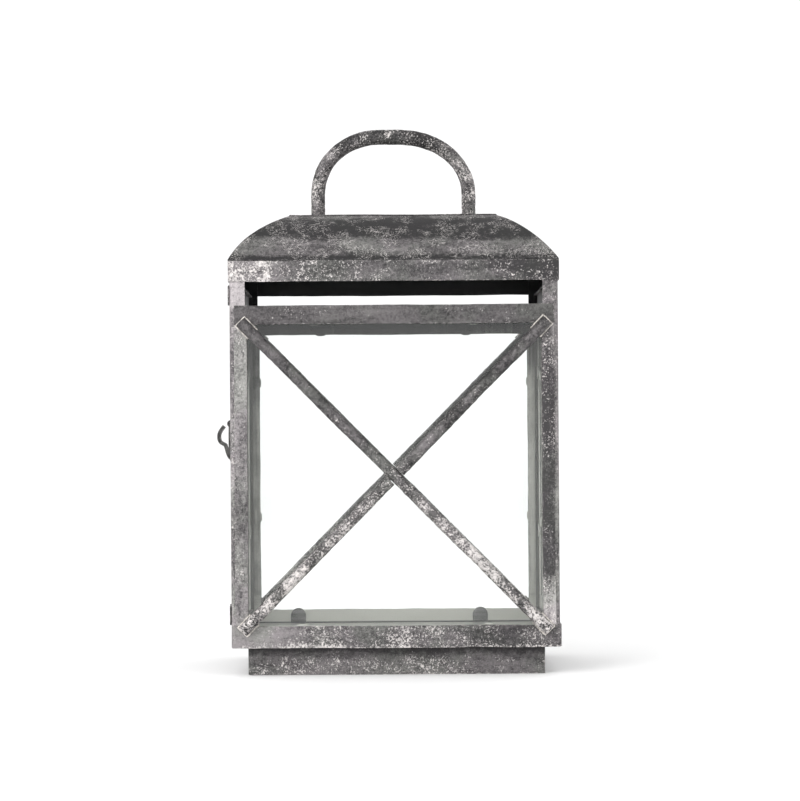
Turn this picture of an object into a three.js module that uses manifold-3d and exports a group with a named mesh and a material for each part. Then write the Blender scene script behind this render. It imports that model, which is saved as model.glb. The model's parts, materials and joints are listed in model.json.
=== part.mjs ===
// Candle lantern in sheet metal and glass, millimetres, +Z up.
// The origin is the middle of the plinth's underside. The front faces -Y and the door is on the left, -X.
import * as THREE from "three";
import { mergeVertices } from "three/addons/utils/BufferGeometryUtils.js";
import Module from "manifold-3d";

// ---- driving dimensions ----
const BODY_HALF = [127, 89];          // outside of the base band and the eave band
const PLINTH_INSET = 12.6;
const SHEET = 0.8;                    // bands, plinth, floor, roof and retainers
const FRAME_SHEET = 1.0;              // posts, stiles, rails and side frames
const GLASS = 2.0;
const GAP = 0.3;                      // between neighbouring pieces
const PAST = 1;                       // how far a cutting solid runs past what it cuts
const BAND_CORNER = 3;

const PLINTH_TOP = 21.4;
const BAND_BOTTOM = 21.7;
const BAND_TOP = 38.7;
const BAND_FLANGE = 26;               // bottom flange of the base band, turned inward
const BAND_SEAT = BAND_BOTTOM + SHEET + GAP; // what stands on the base band's flange starts here
const FLOOR_TOP = 27.8;
const FLOOR_CORNER = 2;
const OPENING_TOP = 269.6;            // lower edge of the top rails
const RAIL_TOP = 284.1;
const EAVE_BOTTOM = 302.4;
const EAVE_TOP = 318.5;
const POST_TOP = 316;

const POST_HALF = [125.9, 87.7];      // outside faces of the corner posts
const POST_FRONT_EDGE = 114;          // |x| where a post's front or back flange ends
const POST_SIDE_EDGE = 75.3;          // |y| where a post's side flange ends
const POST_CORNER = 3;
const STILE_OUTER = 122.6;
const OPENING_HALF = 112.6;
const RAIL_FLANGE = 11;               // top flange of a top rail, turned inward

const RETAINER_OPENING_TOP = OPENING_TOP + 0.2;
const PANE_TOP = RAIL_TOP - FRAME_SHEET - GAP;
const PANE_HALF = POST_HALF[0] - POST_CORNER - GAP;
const PANE_OUTER = POST_HALF[1] - FRAME_SHEET - GAP;
const RETAINER_OUTER = PANE_OUTER - GLASS - GAP;
const TAB = { width: 11, reach: 1.3, radius: 4, base: 10 };
const TOP_TABS = [-61, 61];           // x of the tabs along the top of a front or back opening
const STILE_TABS = [116.8, 229.4];    // z of the tabs along its sides
const BOTTOM_TABS = { front: [-71.5, 71.5], back: [-81, 71.5] };

const SIDE_HALF = 74.7;               // half of the door and the right side frame
const SIDE_BOTTOM = 39.2;
const SIDE_TOP = 301.9;
const SIDE_BAR = 12.5;
const SIDE_FLANGE = 8;

const ROOF_BOTTOM = EAVE_TOP + GAP;
const ROOF_TOP = 356.8;
const ROOF_INSET = 45.5;
const ROOF_RADIUS = 96;
const CAP_TOP = 357.8;
const CAP_CORNER = 1.5;

const ROD_RADIUS = 4.6;
const CROSS = { half: 118, bottom: 34, top: 272.3 };
const BACK_CROSS_SHIFT = [-1.3, 0.9]; // the back cross sits a little off centre

const HANDLE = { middleX: 0.6, radius: 5.7, legX: 60.4, bendX: 50.2, bendZ: 46.5, topZ: 424.6 };

const HINGE = {
  x: -126, y: -75, radius: 1.9, bore: 1.15, pin: 0.8, head: 0.8,
  leaf: 11, face: -126.2, knuckle: 4.6, clear: 0.7,
};
const HINGE_BOTTOMS = { lower: 39.5, upper: 285.1 };
const HINGE_HEIGHT = 3 * HINGE.knuckle + 2 * GAP;

const LATCH = { y: 68, pivotZ: 152, width: 7, sheet: 1.5, finger: 3, rivet: 1.5, hole: 1.85, foot: 5.5 };
const LEVER_FOOT = -(POST_HALF[0] + GAP + LATCH.sheet / 2);
const RIVET = { outerHead: 1.2, outerRadius: 3, innerHead: 0.7, innerRadius: 2.7, joint: 0.1 };
const EYE = { x: -137, y: 81.5, z: 195.4, ring: 2.3, wire: 0.8, stem: 1.1, plate: 3.4, nose: 0.75 };
// X and Z of the lever's two curves: a start, then three Bezier points for each stretch.
const ARM = [
  [LEVER_FOOT, 156],
  [LEVER_FOOT, 161], [-133, 160], [-136, 165],
  [-137.2, 172], [-137.2, 187], [EYE.x + 0.3, EYE.z + 1],
];
const FINGER = [
  [-136.2, 166.5],
  [-138.8, 169.5], [-139.2, 174.5], [-140.4, 177.4],
  [-141, 178.8], [-145.6, 178.2], [-145.7, 184.2],
  [-145.8, 188.2], [-143.6, 190.4], [-141.4, 193.3],
];

// ---- finishes ----
const finish = (color, roughness, metalness) => ({ color, roughness, metalness });
const FINISHES = {
  zinc: finish(0x76736f, 0.62, 0.75),
  zincDark: finish(0x55534f, 0.6, 0.75),
  zincInside: finish(0x93958f, 0.5, 0.7),
  steel: finish(0x4b4946, 0.5, 0.8),
  glass: { color: 0xe6f0ea, roughness: 0.05, metalness: 0, transparent: true, opacity: 0.2 },
};

// ---- solids ----
const wasm = await Module();
wasm.setup();

function solidOf(geometry) {
  const bare = geometry.clone();
  bare.deleteAttribute("normal");
  bare.deleteAttribute("uv");
  const merged = mergeVertices(bare, 1e-4);
  return new wasm.Manifold(new wasm.Mesh({
    numProp: 3,
    vertProperties: new Float32Array(merged.attributes.position.array),
    triVerts: new Uint32Array(merged.index.array),
  }));
}

function geometryOf(solid) {
  const mesh = solid.getMesh();
  const geometry = new THREE.BufferGeometry();
  geometry.setAttribute("position", new THREE.BufferAttribute(mesh.vertProperties, 3));
  geometry.setIndex(new THREE.BufferAttribute(mesh.triVerts, 1));
  geometry.computeVertexNormals();
  return geometry;
}

const joined = (solids) => solids.reduce((whole, solid) => whole.add(solid));
const cut = (solid, ...tools) => tools.reduce((rest, tool) => rest.subtract(tool), solid);

function box(low, high) {
  const size = high.map((value, axis) => value - low[axis]);
  const geometry = new THREE.BoxGeometry(...size);
  geometry.translate(...low.map((value, axis) => value + size[axis] / 2));
  return solidOf(geometry);
}

// A cylinder of a radius between two points.
function rod(start, end, radius, sides = 24) {
  const from = new THREE.Vector3(...start);
  const along = new THREE.Vector3(...end).sub(from);
  const geometry = new THREE.CylinderGeometry(radius, radius, along.length(), sides);
  geometry.translate(0, along.length() / 2, 0);
  const turn = new THREE.Quaternion().setFromUnitVectors(new THREE.Vector3(0, 1, 0), along.normalize());
  geometry.applyQuaternion(turn);
  geometry.translate(...from.toArray());
  return solidOf(geometry);
}

function roundedRectangle(halfA, halfB, radius) {
  const shape = new THREE.Shape();
  const corners = [[1, 1, 0], [-1, 1, 0.5], [-1, -1, 1], [1, -1, 1.5]];
  shape.moveTo(halfA, -halfB + radius);
  for (const [signA, signB, turn] of corners) {
    const start = turn * Math.PI;
    const centre = [signA * (halfA - radius), signB * (halfB - radius)];
    shape.absarc(...centre, radius, start, start + Math.PI / 2, false);
  }
  return shape;
}

// An upright prism of a shape in X and Y.
function prism(shape, low, high, curveSegments = 3) {
  const geometry = new THREE.ExtrudeGeometry(shape, { depth: high - low, bevelEnabled: false, curveSegments });
  geometry.translate(0, 0, low);
  return solidOf(geometry);
}

const slab = (half, corner, low, high) => prism(roundedRectangle(...half, corner), low, high);
const inset = (half, by) => half.map((value) => value - by);

// A prism of a shape in X and Z, from one Y to another.
function standing(shape, nearY, farY, curveSegments = 12) {
  const depth = farY - nearY;
  const geometry = new THREE.ExtrudeGeometry(shape, { depth, bevelEnabled: false, curveSegments });
  geometry.rotateX(Math.PI / 2);
  geometry.translate(0, farY, 0);
  return solidOf(geometry);
}

// ---- base ----
function basePlinth() {
  const half = inset(BODY_HALF, PLINTH_INSET);
  const outside = slab(half, BAND_CORNER, 0, PLINTH_TOP);
  const inside = slab(inset(half, SHEET), BAND_CORNER - SHEET, SHEET, PLINTH_TOP + PAST);
  return cut(outside, inside);
}

function baseBand() {
  const outside = slab(BODY_HALF, BAND_CORNER, BAND_BOTTOM, BAND_TOP);
  const inside = slab(inset(BODY_HALF, SHEET), BAND_CORNER - SHEET, BAND_BOTTOM + SHEET, BAND_TOP + PAST);
  const below = slab(inset(BODY_HALF, BAND_FLANGE), BAND_CORNER, BAND_BOTTOM - PAST, BAND_TOP);
  return cut(outside, inside, below);
}

// A shallow tray turned over, which lies between the retainers' tabs and the side frames' flanges.
function floorPlate() {
  const half = [POST_HALF[0] - SIDE_FLANGE - GAP, RETAINER_OUTER - 2 * SHEET - GAP];
  const outside = slab(half, FLOOR_CORNER, BAND_SEAT, FLOOR_TOP);
  const inside = slab(inset(half, SHEET), FLOOR_CORNER - SHEET, BAND_SEAT - PAST, FLOOR_TOP - SHEET);
  return cut(outside, inside);
}

// ---- posts, front and back frames ----
const NOTCH_HALF = HINGE.radius + HINGE.clear;

const hingeNotch = (bottom) => box(
  [HINGE.x - NOTCH_HALF, HINGE.y - NOTCH_HALF, bottom - GAP],
  [HINGE.x + NOTCH_HALF, HINGE.y + NOTCH_HALF, bottom + HINGE_HEIGHT + HINGE.head + 2 * GAP],
);

function cornerPost(sideX, sideY) {
  const [low, high] = [BAND_SEAT - PAST, POST_TOP + PAST];
  const outside = slab(POST_HALF, POST_CORNER, BAND_SEAT, POST_TOP);
  const hollow = slab(inset(POST_HALF, FRAME_SHEET), POST_CORNER - FRAME_SHEET, low, high);
  const [halfX, halfY] = POST_HALF;
  const reach = POST_CORNER + PAST;
  const corner = joined([
    box([POST_FRONT_EDGE, halfY - reach, low], [halfX + PAST, halfY + PAST, high]),
    box([halfX - reach, POST_SIDE_EDGE, low], [halfX + PAST, halfY + PAST, high]),
  ]);
  const angle = cut(outside, hollow).intersect(corner);
  return angle.scale([sideX, sideY, 1]);
}

function hingePost() {
  return cut(cornerPost(-1, -1), ...Object.values(HINGE_BOTTOMS).map(hingeNotch));
}

// Stiles and rails lie on the posts, flush with the bands. side is -1 at the front and 1 at the back.
function faceBox(side, lowX, highX, lowZ, highZ, depth = FRAME_SHEET) {
  const outer = side * BODY_HALF[1];
  const inner = side * (BODY_HALF[1] - depth);
  return box([lowX, Math.min(outer, inner), lowZ], [highX, Math.max(outer, inner), highZ]);
}

function faceStile(side, sideX) {
  const edges = [sideX * OPENING_HALF, sideX * STILE_OUTER].sort((a, b) => a - b);
  return faceBox(side, ...edges, BAND_TOP + GAP, OPENING_TOP - GAP);
}

function topRail(side) {
  const face = faceBox(side, -STILE_OUTER, STILE_OUTER, OPENING_TOP, RAIL_TOP);
  const half = POST_FRONT_EDGE - GAP;
  const flange = faceBox(side, -half, half, RAIL_TOP - FRAME_SHEET, RAIL_TOP, RAIL_FLANGE);
  return joined([face, flange]);
}

// ---- crosses ----
function crossRods(side, shift) {
  const y = side * (BODY_HALF[1] + GAP + ROD_RADIUS);
  const point = (x, z) => [x + shift[0], y, z + shift[1]];
  const middle = (CROSS.bottom + CROSS.top) / 2;
  const rise = (CROSS.top - CROSS.bottom) / 2;
  const stand = (ROD_RADIUS + GAP) / Math.hypot(CROSS.half, rise);
  const near = (sign) => point(sign * CROSS.half * stand, middle + sign * rise * stand);
  return {
    long: rod(point(-CROSS.half, CROSS.top), point(CROSS.half, CROSS.bottom), ROD_RADIUS),
    lower: rod(point(-CROSS.half, CROSS.bottom), near(-1), ROD_RADIUS),
    upper: rod(near(1), point(CROSS.half, CROSS.top), ROD_RADIUS),
  };
}

// ---- glass and retainers ----
function facePane(side) {
  const faces = [side * PANE_OUTER, side * (PANE_OUTER - GLASS)].sort((a, b) => a - b);
  return box([-PANE_HALF, faces[0], BAND_SEAT], [PANE_HALF, faces[1], PANE_TOP]);
}

// A tab in X and Z that grows from (x, z) in a direction, with a round end.
function tabShape(x, z, directionX, directionZ) {
  const shape = roundedRectangle(TAB.width / 2, (TAB.base + TAB.reach) / 2, TAB.radius);
  const angle = Math.atan2(directionZ, directionX) - Math.PI / 2;
  const middle = (TAB.reach - TAB.base) / 2;
  const turned = shape.getPoints(3).map((point) => {
    const moved = new THREE.Vector2(point.x, point.y + middle);
    moved.rotateAround(new THREE.Vector2(0, 0), angle);
    return moved.add(new THREE.Vector2(x, z));
  });
  return new THREE.Shape(turned);
}

function faceRetainer(side, tabs) {
  const layer = (low, high, part) => {
    const ys = [side * low, side * high].sort((a, b) => a - b);
    return part(...ys);
  };
  const inner = RETAINER_OUTER - SHEET;
  const ring = layer(inner, RETAINER_OUTER, (near, far) => cut(
    box([-PANE_HALF, near, BAND_SEAT], [PANE_HALF, far, PANE_TOP]),
    box([-OPENING_HALF, near - PAST, BAND_TOP], [OPENING_HALF, far + PAST, RETAINER_OPENING_TOP]),
  ));
  const tabSolids = tabs.map((tab) => layer(inner - SHEET, inner + SHEET / 2, (near, far) => (
    standing(tabShape(...tab), near, far)
  )));
  return joined([ring, ...tabSolids]);
}

// Each tab's X and Z on the opening's edge, and the way it points.
const faceTabs = (bottomXs) => [
  ...bottomXs.map((x) => [x, BAND_TOP, 0, 1]),
  ...TOP_TABS.map((x) => [x, RETAINER_OPENING_TOP, 0, -1]),
  ...STILE_TABS.flatMap((z) => [[-OPENING_HALF, z, 1, 0], [OPENING_HALF, z, -1, 0]]),
];

// ---- side frames: the right one is fixed and the left one is the door ----
function sideFrame() {
  const face = POST_HALF[0];
  const plate = cut(
    box([face - FRAME_SHEET, -SIDE_HALF, SIDE_BOTTOM], [face, SIDE_HALF, SIDE_TOP]),
    box(
      [face - 2 * FRAME_SHEET, -SIDE_HALF + SIDE_BAR, SIDE_BOTTOM + SIDE_BAR],
      [face + PAST, SIDE_HALF - SIDE_BAR, SIDE_TOP - SIDE_BAR],
    ),
  );
  const rim = cut(
    box([face - SIDE_FLANGE, -SIDE_HALF, SIDE_BOTTOM], [face - FRAME_SHEET / 2, SIDE_HALF, SIDE_TOP]),
    box(
      [face - SIDE_FLANGE - PAST, -SIDE_HALF + FRAME_SHEET, SIDE_BOTTOM + FRAME_SHEET],
      [face, SIDE_HALF - FRAME_SHEET, SIDE_TOP - FRAME_SHEET],
    ),
  );
  return joined([plate, rim]);
}

const SIDE_POCKET = FRAME_SHEET + GAP;
const SIDE_PANE_OUTER = POST_HALF[0] - FRAME_SHEET - 2 * GAP - RIVET.innerHead;

function sidePane() {
  const outer = SIDE_PANE_OUTER;
  return box(
    [outer - GLASS, -SIDE_HALF + SIDE_POCKET, SIDE_BOTTOM + SIDE_POCKET],
    [outer, SIDE_HALF - SIDE_POCKET, SIDE_TOP - SIDE_POCKET],
  );
}

function sideRetainer() {
  const outer = SIDE_PANE_OUTER - GLASS - GAP;
  const half = SIDE_HALF - SIDE_POCKET;
  const ring = cut(
    box([outer - SHEET, -half, SIDE_BOTTOM + SIDE_POCKET], [outer, half, SIDE_TOP - SIDE_POCKET]),
    box(
      [outer - 2 * SHEET, -SIDE_HALF + SIDE_BAR, SIDE_BOTTOM + SIDE_BAR],
      [outer + PAST, SIDE_HALF - SIDE_BAR, SIDE_TOP - SIDE_BAR],
    ),
  );
  const middle = (SIDE_BOTTOM + SIDE_TOP) / 2;
  const quarter = (SIDE_TOP - SIDE_BOTTOM) / 4;
  const edge = SIDE_HALF - SIDE_BAR;
  const tabs = [-1, 1].flatMap((side) => [middle - quarter, middle + quarter].map((z) => (
    standing(tabShape(side * edge, z, -side, 0), outer - 2 * SHEET, outer - SHEET / 2)
      .rotate([0, 0, 90]).scale([-1, 1, 1])
  )));
  return joined([ring, ...tabs]);
}

const mirrored = (solid) => solid.scale([-1, 1, 1]);
const atPivot = (x) => [x, LATCH.y, LATCH.pivotZ];
const rivetHole = () => rod(atPivot(LEVER_FOOT - LATCH.foot), atPivot(LEVER_FOOT + LATCH.foot), LATCH.hole);

function doorFrame() {
  return cut(mirrored(sideFrame()), rivetHole(), ...Object.values(HINGE_BOTTOMS).map(hingeNotch));
}

// ---- hinges ----
// owned says which of the three knuckles belong to this leaf, from the bottom up.
function hingeLeaf(bottom, side, owned) {
  const top = bottom + HINGE_HEIGHT;
  const level = (index) => bottom + index * (HINGE.knuckle + GAP);
  const near = HINGE.x - NOTCH_HALF;
  const far = HINGE.x + NOTCH_HALF;
  const ys = [HINGE.y, HINGE.y + side * HINGE.leaf].sort((a, b) => a - b);
  const plate = box([HINGE.face - SHEET, ys[0], bottom], [HINGE.face, ys[1], top]);
  const others = [0, 1, 2].filter((index) => !owned.includes(index));
  const reliefs = others.map((index) => box(
    [near, HINGE.y - NOTCH_HALF, level(index) - GAP],
    [far, HINGE.y + NOTCH_HALF, level(index) + HINGE.knuckle + GAP],
  ));
  const knuckle = (index) => rod(
    [HINGE.x, HINGE.y, level(index)],
    [HINGE.x, HINGE.y, level(index) + HINGE.knuckle],
    HINGE.radius,
  );
  const bore = rod([HINGE.x, HINGE.y, bottom - PAST], [HINGE.x, HINGE.y, top + PAST], HINGE.bore);
  return cut(joined([cut(plate, ...reliefs), ...owned.map(knuckle)]), bore);
}

function hingePin(bottom) {
  const headBottom = bottom + HINGE_HEIGHT + GAP;
  return joined([
    rod([HINGE.x, HINGE.y, bottom], [HINGE.x, HINGE.y, headBottom + HINGE.head / 2], HINGE.pin),
    rod([HINGE.x, HINGE.y, headBottom], [HINGE.x, HINGE.y, headBottom + HINGE.head], HINGE.radius - GAP),
  ]);
}

// ---- latch on the door's free side ----
// A strip of sheet that follows a path in X and Z, as wide as the lever in Y.
function strip(path, thickness) {
  const points = path.getPoints(8);
  const offset = (side) => points.map((point, index) => {
    const before = points[Math.max(index - 1, 0)];
    const after = points[Math.min(index + 1, points.length - 1)];
    const along = new THREE.Vector2().subVectors(after, before).normalize();
    return new THREE.Vector2(point.x - side * along.y, point.y + side * along.x);
  });
  const outline = [...offset(thickness / 2), ...offset(-thickness / 2).reverse()];
  return standing(new THREE.Shape(outline), LATCH.y - LATCH.width / 2, LATCH.y + LATCH.width / 2);
}

function bezierPath(points) {
  const path = new THREE.Path();
  path.moveTo(...points[0]);
  for (let first = 1; first < points.length; first += 3) {
    path.bezierCurveTo(...points.slice(first, first + 3).flat());
  }
  return path;
}

function latchLever() {
  const half = LATCH.sheet / 2;
  const foot = rod(atPivot(LEVER_FOOT - half), atPivot(LEVER_FOOT + half), LATCH.foot, 32);
  const nose = rod([EYE.x, LATCH.y, EYE.z], [EYE.x, EYE.y + PAST, EYE.z], EYE.nose, 16);
  const arm = strip(bezierPath(ARM), LATCH.sheet);
  const finger = strip(bezierPath(FINGER), LATCH.finger);
  return cut(joined([arm, finger, foot, nose]), rivetHole());
}

function latchRivet() {
  const outer = LEVER_FOOT - LATCH.sheet / 2 - GAP;
  const inner = -(POST_HALF[0] - FRAME_SHEET - GAP);
  return joined([
    rod(atPivot(outer - RIVET.joint), atPivot(inner + RIVET.joint), LATCH.rivet),
    rod(atPivot(outer - RIVET.outerHead), atPivot(outer), RIVET.outerRadius),
    rod(atPivot(inner), atPivot(inner + RIVET.innerHead), RIVET.innerRadius),
  ]);
}

function latchEye() {
  const ring = new THREE.TorusGeometry(EYE.ring, EYE.wire, 10, 24);
  ring.rotateX(Math.PI / 2);
  ring.translate(EYE.x, EYE.y, EYE.z);
  const face = -(POST_HALF[0] + GAP);
  return joined([
    solidOf(ring),
    rod([EYE.x + EYE.ring, EYE.y, EYE.z], [face, EYE.y, EYE.z], EYE.stem, 16),
    rod([face - SHEET, EYE.y, EYE.z], [face, EYE.y, EYE.z], EYE.plate),
  ]);
}

// ---- roof ----
function eaveBand() {
  const outside = slab(BODY_HALF, BAND_CORNER, EAVE_BOTTOM, EAVE_TOP);
  const inside = slab(inset(BODY_HALF, SHEET), BAND_CORNER - SHEET, EAVE_BOTTOM - PAST, EAVE_TOP + PAST);
  return cut(outside, inside);
}

const ROOF_STEPS = 14;                // facets up each curve
const ARC_OVERRUN = 0.03;             // radians by which the roof's hollow starts below its edge

// The roof's cross-section for one direction: up an arc, over the flat top and down an arc.
function roofSection(half, shrink) {
  const width = ROOF_INSET;
  const height = ROOF_TOP - ROOF_BOTTOM;
  const chord = Math.hypot(width, height);
  const lean = Math.atan2(height, width);
  const reach = Math.sqrt(ROOF_RADIUS ** 2 - (chord / 2) ** 2);
  const centreX = half - width / 2 - Math.sin(lean) * reach;
  const centreZ = ROOF_BOTTOM + height / 2 - Math.cos(lean) * reach;
  const radius = ROOF_RADIUS - shrink;
  const lowAngle = Math.asin((ROOF_BOTTOM - centreZ) / radius);
  const highAngle = Math.asin((ROOF_TOP - centreZ) / radius);
  const start = shrink > 0 ? lowAngle - ARC_OVERRUN : lowAngle;
  const shape = new THREE.Shape();
  shape.absarc(centreX, centreZ, radius, start, highAngle, false);
  shape.absarc(-centreX, centreZ, radius, Math.PI - highAngle, Math.PI - start, false);
  return shape;
}

function roofDome(shrink) {
  const [halfX, halfY] = BODY_HALF;
  const alongY = standing(roofSection(halfX, shrink), -halfY - PAST, halfY + PAST, ROOF_STEPS);
  const alongX = standing(roofSection(halfY, shrink), -halfX - PAST, halfX + PAST, ROOF_STEPS);
  return alongY.intersect(alongX.rotate([0, 0, 90]));
}

function roofCap() {
  return slab(inset(BODY_HALF, ROOF_INSET), CAP_CORNER, ROOF_TOP + GAP, CAP_TOP);
}

// ---- handle ----
class HandleCurve extends THREE.Curve {
  constructor(path) {
    super();
    this.path = path;
  }

  getPoint(t, target = new THREE.Vector3()) {
    const point = this.path.getPointAt(t);
    return target.set(point.x, 0, point.y);
  }
}

function handle() {
  const { middleX, radius, legX, bendX, bendZ, topZ } = HANDLE;
  const footZ = CAP_TOP + GAP;
  const centreX = legX - bendX;
  const centreZ = topZ - bendZ;
  const path = new THREE.Path();
  path.moveTo(middleX - legX, footZ);
  path.lineTo(middleX - legX, centreZ);
  path.absellipse(middleX - centreX, centreZ, bendX, bendZ, Math.PI, Math.PI / 2, true);
  path.absellipse(middleX + centreX, centreZ, bendX, bendZ, Math.PI / 2, 0, true);
  path.lineTo(middleX + legX, footZ);
  const section = new THREE.Shape();
  section.absarc(0, 0, radius, 0, 2 * Math.PI, false);
  return solidOf(new THREE.ExtrudeGeometry(section, {
    steps: 44,
    curveSegments: 8,
    bevelEnabled: false,
    extrudePath: new HandleCurve(path),
  }));
}

// ---- the object ----
const lantern = new THREE.Group();

function place(name, solid, look) {
  const mesh = new THREE.Mesh(geometryOf(solid), new THREE.MeshStandardMaterial(FINISHES[look]));
  mesh.name = name;
  lantern.add(mesh);
}

place("base_plinth", basePlinth(), "zincDark");
place("base_band", baseBand(), "zinc");
place("floor_plate", floorPlate(), "zincInside");

place("post_front_left", hingePost(), "zinc");
place("post_front_right", cornerPost(1, -1), "zinc");
place("post_back_left", cornerPost(-1, 1), "zinc");
place("post_back_right", cornerPost(1, 1), "zinc");

for (const [face, side] of [["front", -1], ["back", 1]]) {
  place(`${face}_stile_left`, faceStile(side, -1), "zinc");
  place(`${face}_stile_right`, faceStile(side, 1), "zinc");
  place(`${face}_top_rail`, topRail(side), "zinc");
  const rods = crossRods(side, side > 0 ? BACK_CROSS_SHIFT : [0, 0]);
  place(`${face}_cross_long`, rods.long, "zinc");
  place(`${face}_cross_lower`, rods.lower, "zinc");
  place(`${face}_cross_upper`, rods.upper, "zinc");
  place(`${face}_glass`, facePane(side), "glass");
  place(`${face}_glass_retainer`, faceRetainer(side, faceTabs(BOTTOM_TABS[face])), "zincInside");
}

place("right_frame", sideFrame(), "zinc");
place("right_glass", sidePane(), "glass");
place("right_glass_retainer", sideRetainer(), "zincInside");

place("door_frame", doorFrame(), "zinc");
place("door_glass", mirrored(sidePane()), "glass");
place("door_glass_retainer", mirrored(sideRetainer()), "zincInside");

for (const [level, bottom] of Object.entries(HINGE_BOTTOMS)) {
  place(`${level}_hinge_post_leaf`, hingeLeaf(bottom, -1, [0, 2]), "steel");
  place(`${level}_hinge_door_leaf`, hingeLeaf(bottom, 1, [1]), "steel");
  place(`${level}_hinge_pin`, hingePin(bottom), "steel");
}

place("latch_lever", latchLever(), "steel");
place("latch_rivet", latchRivet(), "steel");
place("latch_eye", latchEye(), "steel");

place("eave_band", eaveBand(), "zinc");
place("roof_shell", cut(roofDome(0), roofDome(SHEET)), "zinc");
place("roof_cap", roofCap(), "zinc");
place("handle", handle(), "zincDark");

export default lantern;
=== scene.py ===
"""Candle lantern: distressed zinc, glass panes, crossed rods and a hinged side door, in metres."""

import json
import math

import bpy
from mathutils import Matrix, Vector, noise

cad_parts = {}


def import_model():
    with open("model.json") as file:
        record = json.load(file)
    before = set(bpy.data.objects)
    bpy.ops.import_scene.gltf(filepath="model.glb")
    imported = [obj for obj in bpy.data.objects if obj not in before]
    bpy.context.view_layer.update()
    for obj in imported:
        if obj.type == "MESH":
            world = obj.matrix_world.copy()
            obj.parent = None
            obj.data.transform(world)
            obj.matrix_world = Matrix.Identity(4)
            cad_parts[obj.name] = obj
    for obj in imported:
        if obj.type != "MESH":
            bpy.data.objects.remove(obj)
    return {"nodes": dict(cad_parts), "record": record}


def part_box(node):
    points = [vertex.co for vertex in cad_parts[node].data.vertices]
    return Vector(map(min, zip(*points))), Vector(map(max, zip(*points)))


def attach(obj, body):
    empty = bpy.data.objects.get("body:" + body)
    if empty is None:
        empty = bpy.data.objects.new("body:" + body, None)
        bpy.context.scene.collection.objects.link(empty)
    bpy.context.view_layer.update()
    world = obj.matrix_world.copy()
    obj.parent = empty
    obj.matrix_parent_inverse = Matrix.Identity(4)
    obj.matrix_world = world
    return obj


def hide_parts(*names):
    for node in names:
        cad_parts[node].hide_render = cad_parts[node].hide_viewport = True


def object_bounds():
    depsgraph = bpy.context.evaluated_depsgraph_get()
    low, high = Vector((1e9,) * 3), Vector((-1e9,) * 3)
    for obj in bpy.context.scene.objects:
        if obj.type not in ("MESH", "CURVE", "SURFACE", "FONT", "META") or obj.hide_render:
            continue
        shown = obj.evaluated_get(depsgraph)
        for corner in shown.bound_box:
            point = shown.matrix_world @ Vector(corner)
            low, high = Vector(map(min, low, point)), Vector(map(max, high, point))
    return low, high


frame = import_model()
CAD_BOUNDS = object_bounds()
RECORD = frame["record"]
BODY_OF = {node: body for body, nodes in RECORD["behaviour"]["bodies"].items() for node in nodes}
MM = 0.001

# ---- camera: level with the body, far enough off for the back frame to look a tenth smaller ----
CAMERA_AT = (-5.05 * MM, -1826 * MM, 177.7 * MM)
CAMERA_ROLL = math.radians(0.4)
LENS, SENSOR = 102.1, 36.0
SHIFT = (0.015, 0.054)


def make_camera():
    data = bpy.data.cameras.new("camera")
    data.sensor_width = SENSOR
    data.lens = LENS
    data.shift_x, data.shift_y = SHIFT
    data.clip_end = 50
    camera = bpy.data.objects.new("camera", data)
    bpy.context.scene.collection.objects.link(camera)
    upright = Matrix.Rotation(math.radians(90), 4, "X")
    camera.matrix_world = Matrix.Translation(CAMERA_AT) @ Matrix.Rotation(CAMERA_ROLL, 4, "Y") @ upright
    bpy.context.scene.camera = camera


# ---- node helpers ----
class Tree:
    """Short calls for building one material."""

    def __init__(self, name):
        self.material = bpy.data.materials.new(name)
        self.material.use_nodes = True
        self.nodes = self.material.node_tree.nodes
        self.links = self.material.node_tree.links
        self.nodes.clear()
        self.output = self.nodes.new("ShaderNodeOutputMaterial")

    def add(self, kind, inputs=None, **settings):
        node = self.nodes.new("ShaderNode" + kind)
        for key, value in settings.items():
            setattr(node, key, value)
        for key, value in (inputs or {}).items():
            self.set(node.inputs[key], value)
        return node

    def set(self, socket, value):
        if isinstance(value, bpy.types.NodeSocket):
            self.links.new(value, socket)
        else:
            socket.default_value = value

    def math(self, operation, a, b=0.0, clamp=False):
        return self.add("Math", {0: a, 1: b}, operation=operation, use_clamp=clamp).outputs[0]

    def weighted(self, *pairs):
        total = 0.0
        for value, weight in pairs:
            total = self.math("ADD", self.math("MULTIPLY", value, weight), total)
        return total

    def product(self, *values):
        result = values[0]
        for value in values[1:]:
            result = self.math("MULTIPLY", result, value)
        return result

    def range(self, value, low, high, to_low=0.0, to_high=1.0):
        inputs = {"Value": value, "From Min": low, "From Max": high, "To Min": to_low, "To Max": to_high}
        return self.add("MapRange", inputs, interpolation_type="SMOOTHSTEP").outputs[0]

    def mix(self, factor, a, b):
        node = self.add("Mix", data_type="RGBA")
        self.set(node.inputs[0], factor)
        self.set(node.inputs[6], a)
        self.set(node.inputs[7], b)
        return node.outputs[2]

    def noise(self, coords, scale, detail=4.0, roughness=0.55, distortion=0.0):
        inputs = {"Vector": coords, "Scale": scale, "Detail": detail, "Roughness": roughness,
                  "Distortion": distortion}
        return self.add("TexNoise", inputs).outputs[0]

    def painted(self, name):
        return self.add("Attribute", attribute_name=name).outputs["Fac"]

    def finish(self, **inputs):
        shader = self.add("BsdfPrincipled", {key.replace("_", " "): value for key, value in inputs.items()})
        self.links.new(shader.outputs[0], self.output.inputs[0])
        return self.material


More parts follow.
